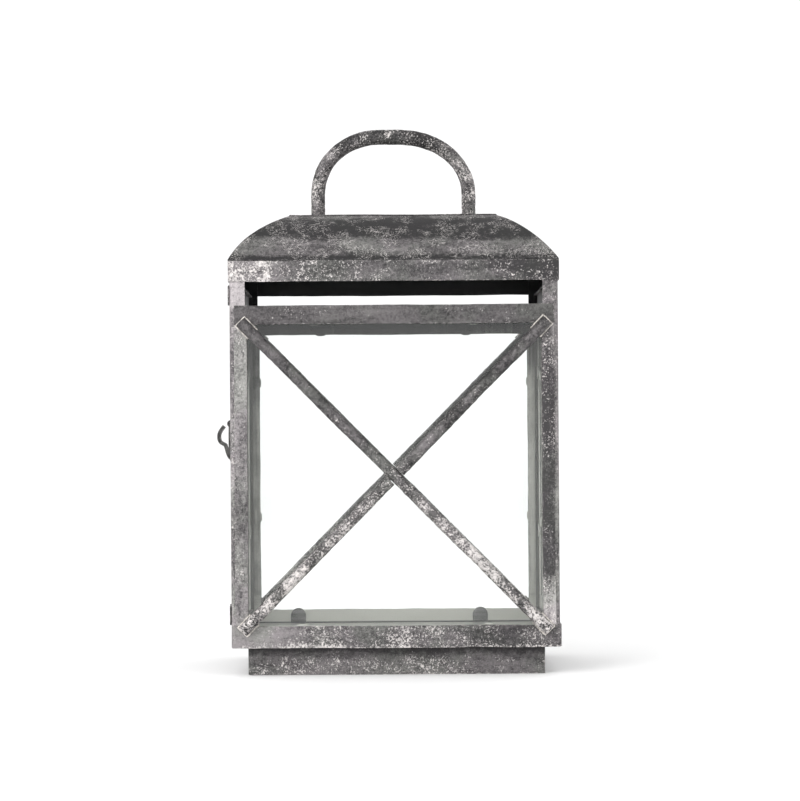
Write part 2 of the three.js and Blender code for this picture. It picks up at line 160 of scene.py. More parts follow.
# ---- materials ----
def zinc(name, seed, dark, light, stretch=(1, 1, 1), chips=0.0, scratches=0.0, worn=1.0, shaded_inside=False, top=0.0):
    """Aged zinc: drawn clouds of lighter and darker metal, cream chips in clusters, curly scratches and rubbed edges.

    The vertex attributes, where a mesh has them, lighten or darken it with painted light and shade and add chips.
    It can also paint shade on the faces that look inward, grey and near black towards the top, and paint light above
    the top rails.
    """
    t = Tree(name)
    place = t.add("TexCoord").outputs["Object"]
    moved = t.add("Mapping", {"Vector": place, "Location": (seed * 1.7, seed * 0.9, seed * 2.3)}).outputs[0]
    drawn = t.add("Mapping", {"Vector": moved, "Scale": stretch}).outputs[0]
    clouds = t.noise(drawn, 34, 5, 0.65, 0.6)
    streaks = t.noise(drawn, 150, 6, 0.7, 0.5)
    mottle = t.noise(moved, 360, 6, 0.75, 0.3)
    grain = t.noise(moved, 1100, 3, 0.65)
    rise = t.add("SeparateXYZ", {0: place}).outputs["Z"]
    # painted light and shade: the vertex attribute, plus painted light above the top rails (0.280 to 0.284 m) where
    # asked, split into a darker and a lighter part
    aim = t.weighted((t.painted("tone_and_shading"), 1.0), (t.range(rise, 0.280, 0.284), top))
    darker, lighter = t.math("MINIMUM", aim, 0.0), t.math("MAXIMUM", aim, 0.0)
    tone_and_shading = t.weighted((clouds, 0.42), (streaks, 0.3), (mottle, 0.48), (grain, 0.26), (darker, 0.17), (lighter, 0.07))
    level = t.range(tone_and_shading, 0.60, 0.89)
    hue = t.range(t.noise(moved, 24, 3, 0.6), 0.42, 0.62)
    low = t.mix(hue, (dark * 1.06, dark * 0.95, dark * 1.03, 1), (dark * 1.01, dark * 0.98, dark * 0.97, 1))
    high = t.mix(hue, (light * 1.05, light * 0.97, light * 0.99, 1), (light * 1.01, light, light * 0.95, 1))
    gain = t.weighted((1.0, 1.0), (lighter, 0.25))
    base = t.add("VectorMath", {0: t.mix(level, low, high), "Scale": gain}, operation="SCALE").outputs[0]

    wear = t.math("ADD", t.painted("wear"), chips)
    cluster = t.weighted((t.noise(moved, 60, 4, 0.65), 1.0), (wear, 0.2))
    flakes = t.noise(moved, 760, 3, 0.6, 0.5)
    specks = t.noise(moved, 420, 3, 0.6, 0.8)
    fine = t.range(t.weighted((flakes, 1.0), (cluster, 0.5)), 0.83, 0.96)
    large = t.range(t.weighted((specks, 1.0), (cluster, 0.6)), 0.96, 1.05)
    chip = t.math("MAXIMUM", t.math("MULTIPLY", fine, 0.75), large)
    lines = t.math("ABSOLUTE", t.math("SUBTRACT", t.noise(moved, 210, 3, 0.55, 1.6), 0.5))
    marks = t.range(t.weighted((t.noise(moved, 60, 3, 0.6), 1.0), (t.painted("wear"), 0.1)), 0.48, 0.6)
    curl = t.product(t.range(lines, 0.0, 0.024, 1.0, 0.0), marks, scratches)
    soft = t.add("Bevel", {"Radius": 1.2 * MM}, samples=4).outputs[0]
    hard = t.add("NewGeometry").outputs["Normal"]
    bend = t.add("VectorMath", {0: soft, 1: hard}, operation="DOT_PRODUCT").outputs["Value"]
    edge = t.range(t.math("SUBTRACT", 1.0, bend), 0.02, 0.14)
    rub = t.range(t.noise(moved, 260, 4, 0.7), 0.48, 0.62)
    rubbed = t.product(edge, rub, worn)
    bright = t.math("MAXIMUM", t.math("MAXIMUM", chip, curl), rubbed, clamp=True)
    colour = t.mix(bright, base, (0.64, 0.605, 0.59, 1))
    if shaded_inside:
        # painted shade: faces that look inward, or face front or back inside the lantern, get a grey that turns near
        # black towards the top
        level_place = t.add("VectorMath", {0: place, 1: (1, 1, 0)}, operation="MULTIPLY").outputs[0]
        normal = t.nodes["Texture Coordinate"].outputs["Normal"]
        facing = t.add("VectorMath", {0: level_place, 1: normal}, operation="DOT_PRODUCT").outputs["Value"]
        inward = t.math("LESS_THAN", facing, -0.02)
        depth = t.math("ABSOLUTE", t.nodes["Separate XYZ"].outputs["Y"])
        cross = t.math("ABSOLUTE", t.add("SeparateXYZ", {0: normal}).outputs["Y"])
        covered = t.math("MULTIPLY", t.math("LESS_THAN", depth, 0.080), t.math("GREATER_THAN", cross, 0.5))
        inward = t.math("MAXIMUM", inward, covered)
        inside_shade = t.mix(t.range(rise, 0.245, 0.285), (0.17, 0.17, 0.16, 1), (0.012, 0.012, 0.013, 1))
        colour = t.mix(inward, colour, inside_shade)

    roughness = t.range(level, 0, 1, 0.62, 0.42)
    height = t.weighted((streaks, 0.3), (mottle, 0.5), (grain, 0.2), (bright, 0.3))
    bump = t.add("Bump", {"Height": height, "Strength": 0.6, "Distance": 0.7 * MM}).outputs[0]
    return t.finish(Base_Color=colour, Roughness=roughness, Normal=bump, Metallic=0.3)


def inner_zinc(name, seed, value, tint=(1.0, 1.0, 0.93), painted_shading=0.0, shadow_height=0.0):
    """Plain galvanised sheet inside the lantern: smooth, pale and a little green, with painted shade that darkens it
    towards the top and turns it near black under the roof, and painted light low down and towards the right.
    """
    t = Tree(name)
    place = t.add("TexCoord").outputs["Object"]
    moved = t.add("Mapping", {"Vector": place, "Location": (seed, seed * 2.1, seed * 0.7)}).outputs[0]
    clouds = t.noise(moved, 40, 5, 0.6)
    grain = t.noise(moved, 700, 3, 0.6)
    rise = t.add("SeparateXYZ", {0: place}).outputs["Z"]
    # painted shade darker towards the top, painted light at the bottom and towards the right
    shade_above = t.range(rise, 0.2, 0.28)
    light_below = t.range(rise, 0.032, 0.05, 1.0, 0.0)
    level_lines = t.noise(t.add("Mapping", {"Vector": moved, "Scale": (0.02, 0.02, 1)}).outputs[0], 330, 3, 0.6)
    upright_lines = t.noise(t.add("Mapping", {"Vector": moved, "Scale": (1, 1, 0.02)}).outputs[0], 330, 3, 0.6)
    lines = t.mix(t.range(rise, 0.050, 0.056), level_lines, upright_lines)
    tone_and_shading = t.weighted((clouds, 0.55), (grain, 0.15), (lines, 0.65), (1.0, -0.18))
    lit = t.range(t.nodes["Separate XYZ"].outputs["X"], -0.05, 0.1)
    tone_and_shading = t.weighted((tone_and_shading, 1.0), (shade_above, -painted_shading), (light_below, 1.5 * painted_shading), (lit, 0.5 * painted_shading))
    level = t.range(tone_and_shading, 0.18, 0.86)
    low = tuple(value * 0.3 * part for part in tint) + (1,)
    high = tuple(value * 2.3 * part for part in tint) + (1,)
    colour = t.mix(level, low, high)
    # painted shade: near black above 0.258 m, under the roof
    colour = t.mix(t.range(rise, 0.258, 0.284), colour, (0.012, 0.012, 0.013, 1))
    # painted shadow: darker at and below the given height, fading out over 1.8 mm above it
    if shadow_height:
        colour = t.mix(t.range(rise, shadow_height, shadow_height + 1.8 * MM), tuple(value * 0.12 * part for part in tint) + (1,), colour)
    bump = t.add("Bump", {"Height": grain, "Strength": 0.2, "Distance": 0.3 * MM}).outputs[0]
    roughness = t.range(level, 0, 1, 0.52, 0.4)
    return t.finish(Base_Color=colour, Roughness=roughness, Normal=bump, Metallic=0.35)


def solder(name):
    """Cream-grey solder with small lumps."""
    t = Tree(name)
    place = t.add("TexCoord").outputs["Object"]
    lumps = t.noise(place, 420, 4, 0.65)
    level = t.range(lumps, 0.38, 0.6)
    colour = t.mix(level, (0.3, 0.28, 0.26, 1), (0.74, 0.7, 0.65, 1))
    bump = t.add("Bump", {"Height": lumps, "Strength": 0.6, "Distance": 0.5 * MM}).outputs[0]
    return t.finish(Base_Color=colour, Roughness=t.range(lumps, 0.3, 0.7, 0.45, 0.6), Normal=bump, Metallic=0.2)


def clear_glass(name):
    """Clear window glass with the faintest smears."""
    t = Tree(name)
    place = t.add("TexCoord").outputs["Object"]
    smear = t.range(t.noise(place, 30, 4, 0.6), 0.45, 0.7, 0.0, 0.02)
    material = t.finish(Base_Color=(0.985, 0.998, 0.99, 1), Roughness=smear)
    shader = t.nodes["Principled BSDF"]
    shader.inputs["Transmission Weight"].default_value = 1.0
    shader.inputs["IOR"].default_value = 1.45
    return material


FLOOR_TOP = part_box("floor_plate")[1][2]
DRAWN_LEVEL = (0.22, 0.22, 1)         # marks drawn out along a level sheet
DRAWN_UPRIGHT = (1, 1, 0.25)          # marks drawn out up a post
MATERIALS = {
    "roof": zinc("roof_zinc", 1.0, 0.014, 0.165, DRAWN_LEVEL, chips=-1.2, scratches=0.85, worn=0.3),
    "band": zinc("band_zinc", 2.0, 0.026, 0.19, DRAWN_LEVEL, chips=-0.05),
    "plinth": zinc("plinth_zinc", 3.0, 0.026, 0.14, DRAWN_LEVEL, chips=-0.1),
    "upright": zinc("upright_zinc", 4.0, 0.035, 0.30, DRAWN_UPRIGHT, chips=-0.2, shaded_inside=True),
    # the left posts: a lighter copy of the upright finish, painted light for the lit side, with painted light above the
    # top rails too
    "lit_left_post": zinc("lit_left_post_zinc", 4.4, 0.035, 0.36, DRAWN_UPRIGHT, chips=0.1, shaded_inside=True, top=0.75),
    "rail": zinc("rail_zinc", 5.0, 0.016, 0.12, DRAWN_LEVEL, chips=-0.6, shaded_inside=True),
    "rod": zinc("rod_zinc", 6.0, 0.012, 0.15, chips=-0.1, worn=0.2),
    "grip": zinc("grip_zinc", 7.0, 0.012, 0.21, chips=0.15, worn=0.2),
    "steel": zinc("dark_steel", 8.0, 0.015, 0.11, chips=-0.5, worn=0.5),
    "inside": inner_zinc("inside_zinc", 2.0, 0.32, painted_shading=0.36, shadow_height=FLOOR_TOP),
    "floor": inner_zinc("floor_zinc", 2.6, 0.25, painted_shading=0.3),
    "wall": inner_zinc("wall_zinc", 6.0, 0.5),
    # near-black painted shade, for the insides of the eave and the roof's underside
    "painted_shading": inner_zinc("shade_painted_zinc", 3.0, 0.02, (1.0, 1.0, 1.0)),
    "tab": inner_zinc("tab_zinc", 4.0, 0.13, (1.0, 1.0, 0.98)),
    "solder": solder("solder"),
    "glass": clear_glass("glass"),
}


# ---- mesh helpers, in millimetres until the object is made ----
def dent(point):
    """Moves a point a little by one smooth field, so that thin sheets and neighbours bend together."""
    at = Vector(point)
    slow = noise.noise_vector(at / 45.0 + Vector((3.1, 7.7, 1.3)))
    quick = noise.noise_vector(at / 11.0 + Vector((9.2, 0.4, 5.5)))
    return at + slow * 0.45 + quick * 0.14


LOW, HIGH = [[value / MM for value in corner] for corner in CAD_BOUNDS]


def inside_box(point):
    return [min(max(value, LOW[axis]), HIGH[axis]) for axis, value in enumerate(point)]


def piece(name, verts, faces, stands_for, material, body="body", paint=None, sharp=35, bend=True):
    """Makes one object from a mesh, hangs it on its body and hides the CAD part it stands for."""
    shaped = [inside_box(dent(vert) if bend else vert) for vert in verts]
    mesh = bpy.data.meshes.new(name)
    mesh.from_pydata([[value * MM for value in vert] for vert in shaped], [], faces)
    mesh.validate()
    for attribute, rule in (paint or {}).items():
        layer = mesh.attributes.new(attribute, "FLOAT", "POINT")
        layer.data.foreach_set("value", [rule(*vert) for vert in verts])
    mesh.shade_smooth()
    mesh.set_sharp_from_angle(angle=math.radians(sharp))
    mesh.materials.append(MATERIALS[material])
    item = bpy.data.objects.new(name, mesh)
    bpy.context.scene.collection.objects.link(item)
    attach(item, body)
    if stands_for:
        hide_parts(stands_for)
    return item


def rounded(points, radius, steps=3):
    """A closed outline with each corner rounded."""
    result = []
    for index, corner in enumerate(points):
        here = Vector(corner)
        before, after = Vector(points[index - 1]), Vector(points[(index + 1) % len(points)])
        size = min(radius, (before - here).length * 0.45, (after - here).length * 0.45)
        start = here + (before - here).normalized() * size
        end = here + (after - here).normalized() * size
        for step in range(steps + 1):
            f = step / steps
            result.append(tuple(start * (1 - f) ** 2 + here * 2 * f * (1 - f) + end * f * f))
    return result


def dense(points, step, closed=True):
    """Adds points along the long stretches of an outline."""
    result = []
    last = len(points) if closed else len(points) - 1
    for index in range(last):
        a, b = Vector(points[index]), Vector(points[(index + 1) % len(points)])
        count = max(1, round((b - a).length / step))
        result += [tuple(a.lerp(b, part / count)) for part in range(count)]
    if not closed:
        result.append(points[-1])
    return result


def ring(half, corner, step=3.0, arc=4):
    """Says how a level ring runs round a rounded rectangle: a function from inset to its points."""
    counts = [max(1, round(2 * size / step)) for size in half]

    def points(inset):
        size = [value - inset for value in half]
        radius = max(corner - inset, 0.15)
        result = []
        for index, (sx, sy) in enumerate(((1, 1), (-1, 1), (-1, -1), (1, -1))):
            centre = Vector((sx * (size[0] - radius), sy * (size[1] - radius)))
            for part in range(arc + 1):
                angle = math.radians(90 * (index + part / arc))
                result.append(centre + radius * Vector((math.cos(angle), math.sin(angle))))
            nx, ny = ((-1, 1), (-1, -1), (1, -1), (1, 1))[index]
            turn = math.radians(90 * (index + 1))
            goal = Vector((nx * (size[0] - radius), ny * (size[1] - radius)))
            goal += radius * Vector((math.cos(turn), math.sin(turn)))
            start = result[-1]
            count = counts[index % 2]
            result += [start.lerp(goal, part / count) for part in range(1, count)]
        return result
    return points


def sweep_ring(path, profile):
    """A closed solid: a closed profile of (inset, z) carried round a ring."""
    rows = [[(point.x, point.y, z) for point in path(inset)] for inset, z in profile]
    return grid(rows, True, True)


def grid(rows, wrap_rows, wrap_columns):
    verts = [vert for row in rows for vert in row]
    across, down = len(rows[0]), len(rows)
    faces = []
    for r in range(down if wrap_rows else down - 1):
        for c in range(across if wrap_columns else across - 1):
            a, b = r * across + c, r * across + (c + 1) % across
            d, e = ((r + 1) % down) * across + c, ((r + 1) % down) * across + (c + 1) % across
            faces.append((a, b, e, d))
    return verts, faces


def tube(path, radius, sides=20, flat=None, rough=0.0, cell=4.0):
    """A rod along a path, its ends closed and slightly rounded; radius and flat may change along it."""
    points = [Vector(point) for point in path]
    side = Vector((0, 1, 0))
    rows = []
    last = len(points) - 1
    for index, point in enumerate(points):
        along = (points[min(index + 1, last)] - points[max(index - 1, 0)]).normalized()
        across = along.cross(side)
        across = across.normalized() if across.length > 1e-6 else Vector((1, 0, 0))
        other = across.cross(along).normalized()
        share = index / last
        size = radius(share) if callable(radius) else radius
        squeeze = flat(share) if flat else 1.0
        row = []
        for part in range(sides):
            angle = 2 * math.pi * part / sides
            out = across * math.cos(angle) * squeeze + other * math.sin(angle)
            at = point + out * size
            lump = noise.noise(at / cell + Vector((5, 2, 8))) * rough
            row.append(tuple(at + out * lump))
        rows.append(row)
    for end, inward in ((0, 1), (last, -1)):
        rim = rows[end]
        centre = points[end]
        cap = [tuple(centre + (Vector(vert) - centre) * 0.86 - (points[end + inward] - centre).normalized() * 0.25)
               for vert in rim]
        rows = [cap] + rows if end == 0 else rows + [cap]
    verts, faces = grid(rows, False, True)
    faces = [tuple(reversed(face)) for face in faces]
    for row_index, flip in ((0, False), (len(rows) - 1, True)):
        face = [row_index * sides + part for part in range(sides)]
        faces.append(tuple(reversed(face)) if flip else tuple(face))
    return verts, faces


def plank(low, high, crown=0.0, step=2.5, soft=0.35):
    """A flat bar between two corners whose outer face (nearest the outside in Y) is crowned."""
    size = [high[axis] - low[axis] for axis in range(3)]
    long_axis = 0 if size[0] > size[2] else 2
    wide_axis = 2 - long_axis
    outside = low[1] if abs(low[1]) > abs(high[1]) else high[1]
    inside = high[1] if outside == low[1] else low[1]
    width = size[wide_axis]
    outline = rounded([(0, 0), (width, 0), (width, 1), (0, 1)], soft)
    outline = dense(outline, 1.2)
    count = round(size[long_axis] / step)
    rows = []
    for index in range(count + 1):
        along = low[long_axis] + size[long_axis] * index / count
        row = []
        for across, depth in outline:
            share = across / width
            lift = crown * (1 - (2 * share - 1) ** 2) * (1 - depth)
            y = outside + (inside - outside) * depth
            y += lift * (1 if outside > inside else -1)
            point = [0, y, 0]
            point[long_axis] = along
            point[wide_axis] = low[wide_axis] + across
            row.append(tuple(point))
        rows.append(row)
    verts, faces = grid(rows, False, True)
    sides = len(outline)
    faces.append(tuple(range(sides)))
    faces.append(tuple(reversed(range((len(rows) - 1) * sides, len(rows) * sides))))
    return verts, faces


def outward(item):
    """Turns a closed mesh's faces outward."""
    import bmesh
    work = bmesh.new()
    work.from_mesh(item.data)
    bmesh.ops.recalc_face_normals(work, faces=work.faces)
    work.to_mesh(item.data)
    work.free()
    item.data.set_sharp_from_angle(angle=math.radians(35))
    return item


def line_with(item, material, test):
    """Gives the faces whose middle and normal pass a test a second material."""
    mesh = item.data
    mesh.materials.append(MATERIALS[material])
    last = len(mesh.materials) - 1
    for face in mesh.polygons:
        if test(face.center / MM, face.normal):
            face.material_index = last


def faces_inward(centre, normal):
    """Whether a wall's face looks at the lantern's middle axis."""
    return normal.x * centre.x * (abs(normal.x) > 0.5) + normal.y * centre.y * (abs(normal.y) > 0.5) < -1


def smooth(low, high, value):
    part = min(max((value - low) / (high - low), 0.0), 1.0)
    return part * part * (3 - 2 * part)


def corners(node):
    """A node's lowest and highest corner in millimetres."""
    return [[value / MM for value in corner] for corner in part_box(node)]


# ---- sheet pieces that run round the lantern ----
SHEET = 0.8
CORNER = 3.0


def plate(half, corner, outline, step=4.0):
    """A closed sheet: rings of (inset, z) from its underside to its top, closed by two flat faces."""
    path = ring(half, corner, step)
    rows = [[(point.x, point.y, z) for point in path(inset)] for inset, z in outline]
    verts, faces = grid(rows, False, True)
    sides = len(rows[0])
    faces.append(tuple(range(sides)))
    faces.append(tuple(reversed(range((len(rows) - 1) * sides, len(rows) * sides))))
    return verts, faces


def half_of(node):
    low, high = corners(node)
    return [(high[0] - low[0]) / 2, (high[1] - low[1]) / 2]


def make_plinth():
    low, high = corners("base_plinth")
    half = half_of("base_plinth")
    wall = rounded([(0, 0), (SHEET, SHEET), (SHEET, high[2]), (0, high[2])], 0.4)
    outline = dense(wall, 2.5)
    verts, faces = sweep_ring(ring(half, CORNER), outline)
    base = len(verts)
    flat_half = [value - SHEET for value in half]
    levels = [(20.0, 0.3), (1.0, 0.3), (0.0, 0.4), (0.0, SHEET), (20.0, SHEET)]
    bottom = plate(flat_half, CORNER - SHEET, levels, 6.0)
    verts += bottom[0]
    faces += [tuple(index + base for index in face) for face in bottom[1]]
    height = high[2]
    paint = {
        # painted shadow: the plinth is darker towards its top, under the band
        "tone_and_shading": lambda x, y, z: 0.75 - 1.4 * smooth(height * 0.4, height, z),
        "wear": lambda x, y, z: 0.55 - 1.5 * smooth(height * 0.45, height * 0.85, z) - 0.6 * smooth(10, 90, x),
    }
    verts = [(x + 0.7, y, z) for x, y, z in verts]
    outward(piece("plinth_pan", verts, faces, "base_plinth", "plinth", paint=paint))


def make_band():
    low, high = corners("base_band")
    half = half_of("base_band")
    flange = 26.0
    outline = rounded([(0, low[2]), (flange, low[2]), (flange, low[2] + SHEET), (SHEET, low[2] + SHEET),
                       (SHEET, high[2]), (0, high[2])], 0.45)
    verts, faces = sweep_ring(ring(half, CORNER), dense(outline, 2.2))
    paint = {
        # painted light and shade: lighter towards the left end, darker towards the right, as the light falls
        "tone_and_shading": lambda x, y, z: 1.15 * smooth(-40, -100, x) + 0.2 - 0.42 * smooth(0, 90, x),
        "wear": lambda x, y, z: (0.3 + 0.7 * smooth(low[2] + 4, low[2], z) - 0.5 * smooth(-95, -118, x)
                                 - 0.1 * smooth(50, 105, x)),
    }
    verts = [(x * (1 - 0.004) + 0.5, y, z) for x, y, z in verts]
    tray = outward(piece("base_band_tray", verts, faces, "base_band", "band", paint=paint))
    line_with(tray, "wall", lambda centre, normal: faces_inward(centre, normal) or
              (normal.z > 0.5 and centre.z < low[2] + 3))


def make_eave():
    low, high = corners("eave_band")
    half = half_of("eave_band")
    outline = rounded([(0, low[2]), (SHEET, low[2]), (SHEET, high[2]), (0.35, high[2]), (0, high[2] - 0.6)], 0.3)
    verts, faces = sweep_ring(ring(half, CORNER), dense(outline, 2.2))
    paint = {
        # painted light and shade: lighter towards the left end, darker towards the right, as the light falls
        "tone_and_shading": lambda x, y, z: 0.95 * smooth(-75, -115, x) - 0.25 - 0.25 * smooth(20, 100, x),
        "wear": lambda x, y, z: 0.9 * smooth(-75, -112, x) + 0.3 * smooth(10, -70, x) - 0.05,
    }
    fascia = outward(piece("eave_fascia", verts, faces, "eave_band", "band", paint=paint))
    # the fascia's inward faces get the near-black painted shade
    line_with(fascia, "painted_shading", faces_inward)


ROOF_RADIUS = 96.0
ROOF_LEAN = 1.2                       # the roof is pushed a little to the left halfway up


def make_roof():
    low, high = corners("roof_shell")
    half = half_of("roof_shell")
    cap_low, cap_high = corners("roof_cap")
    inset = half[0] - (cap_high[0] - cap_low[0]) / 2
    height = high[2] - low[2]
    chord = math.hypot(inset, height)
    lean = math.atan2(height, inset)
    reach = math.sqrt(ROOF_RADIUS ** 2 - (chord / 2) ** 2)
    centre = (inset / 2 + math.sin(lean) * reach, low[2] + height / 2 - math.cos(lean) * reach)

    def curve(radius, count):
        first = math.asin((low[2] - centre[1]) / radius)
        last = math.asin((high[2] - centre[1]) / radius)
        angles = [first + (last - first) * part / count for part in range(count + 1)]
        return [(centre[0] - radius * math.cos(angle), centre[1] + radius * math.sin(angle)) for angle in angles]

    outer = curve(ROOF_RADIUS, 22)
    inner = curve(ROOF_RADIUS - SHEET, 22)
    outline = outer + list(reversed(inner))
    verts, faces = sweep_ring(ring(half, 1.6), outline)
    span = high[2] - low[2]
    verts = [(x - ROOF_LEAN * math.sin(math.pi * (z - low[2]) / span), y, z) for x, y, z in verts]

    # painted reflection and shade: a lighter band low on the slope, a dark band higher up and a lighter top stand for
    # reflections of the surroundings, the crease at the eave is painted darker as shade, and the right side above the
    # crease is painted lighter
    def tone_and_shading(x, y, z):
        up = (z - low[2]) / span
        wobble = noise.noise(Vector((x / 34, y / 34, 4.0))) * 0.09
        dark = smooth(0.36, 0.6, up + wobble) * smooth(1.0, 0.8, up + wobble)
        crease_shade = smooth(0.12, 0.0, up)
        pale = smooth(0.08, 0.2, up + wobble) * smooth(0.5, 0.36, up + wobble)
        return (0.35 * pale - 1.0 * dark - 1.3 * crease_shade + 0.3 * smooth(0.84, 1.0, up)
                + 0.4 * smooth(70, 115, x) * smooth(0.1, 0.25, up))

    paint = {"tone_and_shading": tone_and_shading, "wear": lambda x, y, z: smooth(0.08, 0.2, (z - low[2]) / span) * 0.5}
    skin = outward(piece("roof_skin", verts, faces, "roof_shell", "roof", paint=paint))
    # the roof's underside gets the near-black painted shade
    line_with(skin, "painted_shading", lambda centre, normal: normal.z < 0)


def make_cap():
    low, high = corners("roof_cap")
    half = half_of("roof_cap")
    half = [value - 0.1 for value in half]
    under = low[2] + 0.05
    levels = [(12.0, under), (3.0, under), (0.0, under), (0.0, high[2] - 0.4), (0.15, high[2] - 0.1),
              (0.5, high[2]), (3.0, high[2]), (12.0, high[2]), (24.0, high[2])]
    verts, faces = plate(half, 1.5, levels)
    paint = {"tone_and_shading": lambda x, y, z: 0.1, "wear": lambda x, y, z: 0.1}
    outward(piece("roof_top", verts, faces, "roof_cap", "roof", paint=paint))


# ---- frames on the front and back ----
def make_frames():
    for face in ("front", "back"):
        for side in ("left", "right"):
            node = f"{face}_stile_{side}"
            low, high = corners(node)
            verts, faces = plank(low, high, crown=0.55)
            left = side == "left"
            paint = {
                # painted light and shade: the left stiles lighter, the right ones darker overall as the shaded side;
                # both lighter at the top and near the bottom
                "tone_and_shading": (lambda x, y, z: 0.05 + 0.75 * smooth(185, 235, z) + 0.35 * smooth(95, 60, z)) if left
                else (lambda x, y, z: -0.6 + 0.35 * smooth(215, 255, z) + 1.9 * smooth(85, 55, z)),
                "wear": (lambda x, y, z: -0.2 + 0.5 * smooth(215, 262, z) + 0.3 * smooth(80, 45, z)) if left
                else (lambda x, y, z: 0.5 * smooth(60, 30, abs(z - 215)) - 0.2 + 1.1 * smooth(85, 50, z)),
            }
            outward(piece(f"{node}_strip", verts, faces, node, "upright", paint=paint))
        node = f"{face}_top_rail"
        low, high = corners(node)
        outside = low[1] if face == "front" else high[1]
        front = [[low[0], min(outside, outside + (1 if face == "front" else -1)), low[2]],
                 [high[0], max(outside, outside + (1 if face == "front" else -1)), high[2]]]
        verts, faces = plank(*front, crown=0.35)
        flange_in = high[1] if face == "front" else low[1]
        ys = sorted((outside + (1.2 if face == "front" else -1.2), flange_in))
        half = corners("post_front_right")[0][0] - 0.3
        more, extra = plank([-half, ys[0], high[2] - 1.0], [half, ys[1], high[2] - 0.05])
        base = len(verts)
        verts += more
        faces += [tuple(index + base for index in item) for item in extra]
        paint = {"tone_and_shading": lambda x, y, z: 0.35 * smooth(60, 0, abs(x + 20)), "wear": lambda x, y, z: -0.1}
        outward(piece(f"{node}_angle", verts, faces, node, "rail", paint=paint))


# ---- crossed rods with their solder ----
ROD = 4.6


def rod_path(start, end, step=1.6):
    start, end = Vector(start), Vector(end)
    count = max(2, round((end - start).length / step))
    return [start.lerp(end, part / count) for part in range(count + 1)]


def rod_ends(node, rising):
    """The two ends of a rod's centre line, from its box."""
    low, high = corners(node)
    middle = (low[1] + high[1]) / 2
    across, up = high[0] - low[0], high[2] - low[2]
    radius = (high[1] - low[1]) / 2
    long = math.hypot(across, up)
    for _ in range(8):
        ux, uz = (across - 2 * radius * up / long) / long, (up - 2 * radius * across / long) / long
        trim_x, trim_z = radius * up / long, radius * across / long
        long = math.hypot(across - 2 * trim_x, up - 2 * trim_z)
        del ux, uz
    first = (low[0] + trim_x, middle, low[2] + trim_z if rising else high[2] - trim_z)
    last = (high[0] - trim_x, middle, high[2] - trim_z if rising else low[2] + trim_z)
    return Vector(first), Vector(last)


def solder_bead(name, path, size, seed):
    lumpy = lambda share: size * (0.75 + 0.5 * noise.noise(Vector((share * 23 + seed, seed * 1.3, 0.5))))
    verts, faces = tube(dense([tuple(point) for point in path], 0.8, closed=False), lumpy, 8, rough=0.12, cell=1.2)
    outward(piece(name, verts, faces, None, "solder", sharp=80))


def make_crosses():
    for face, sign in (("front", -1), ("back", 1)):
        for part in ("long", "lower", "upper"):
            node = f"{face}_cross_{part}"
            first, last = rod_ends(node, part != "long")
            trim = (last - first).normalized() * 1.2
            first = first if part == "upper" else first + trim
            last = last if part == "lower" else last - trim
            length = (last - first).length
            verts, faces = tube(rod_path(first, last), ROD - 0.12, 22, rough=0.28, cell=3.2)
            middle = (first + last) / 2 if part == "long" else (last if part == "lower" else first)
            paint = {
                "tone_and_shading": lambda x, y, z: 0.3 * smooth(215, 160, z) - 0.45 * smooth(110, 60, z),
                "wear": lambda x, y, z: 1.35 * smooth(200, 70, z) - 0.5 * smooth(200, 250, z),
            }
            outward(piece(f"{node}_rod", verts, faces, node, "rod", paint=paint))
            along = (last - first).normalized()
            across = Vector((-along.z, 0, along.x))
            lift = Vector((0, -sign * (ROD - 0.5), 0))
            for end, way in ((first, -1), (last, 1)):
                if part != "long" and (end - middle).length < 1:
                    continue
                tip = end + along * way * 0.8
                back = end - along * way * 13
                edge = across * (ROD + 0.3)
                outline = [back + edge + lift, tip + edge + lift, tip - edge + lift, back - edge + lift]
                mark = "low" if end.z < 150 else "high"
                solder_bead(f"{node}_solder_{mark}", outline, 0.85, length + way)


# ---- tabs that hold the glass ----
TAB = {"width": 12.6, "rise": 12.4, "thick": 1.2}


def clip(name, x, z, y, side):
    """A round-topped tab that stands on (x, z) with its domed face towards the chamber."""
    half, rise = TAB["width"] / 2, TAB["rise"]
    outline = [(-half, 0), (half, 0), (half, rise - half)]
    outline += [(half * math.cos(math.radians(angle)), rise - half + half * math.sin(math.radians(angle)))
                for angle in range(15, 180, 15)]
    outline.append((-half, rise - half))
    outline = dense(outline, 1.5)
    middle = Vector((0, rise / 2))
    rows = []
    for scale, depth in ((1.0, 0.0), (1.0, 0.7), (0.93, 1.0), (0.6, 1.35), (0.2, 1.5)):
        row = [middle + (Vector(point) - middle) * scale for point in outline]
        rows.append([(x + point.x, y - side * depth * TAB["thick"], z + point.y) for point in row])
    verts, faces = grid(rows, False, True)
    sides = len(outline)
    faces.append(tuple(range(sides)))
    faces.append(tuple(reversed(range((len(rows) - 1) * sides, len(rows) * sides))))
    outward(piece(name, verts, faces, None, "tab"))


def make_clips():
    for face, side, xs in (("front", -1, (-71.5, 71.5)), ("back", 1, (-81.0, 71.5))):
        low, high = corners(f"{face}_glass_retainer")
        inner = low[1] if side > 0 else high[1]
        floor_z = corners("floor_plate")[1][2]
        for index, x in enumerate(xs):
            clip(f"{face}_bottom_clip_{index + 1}", x, floor_z + 0.2, inner + side * 0.6, side)


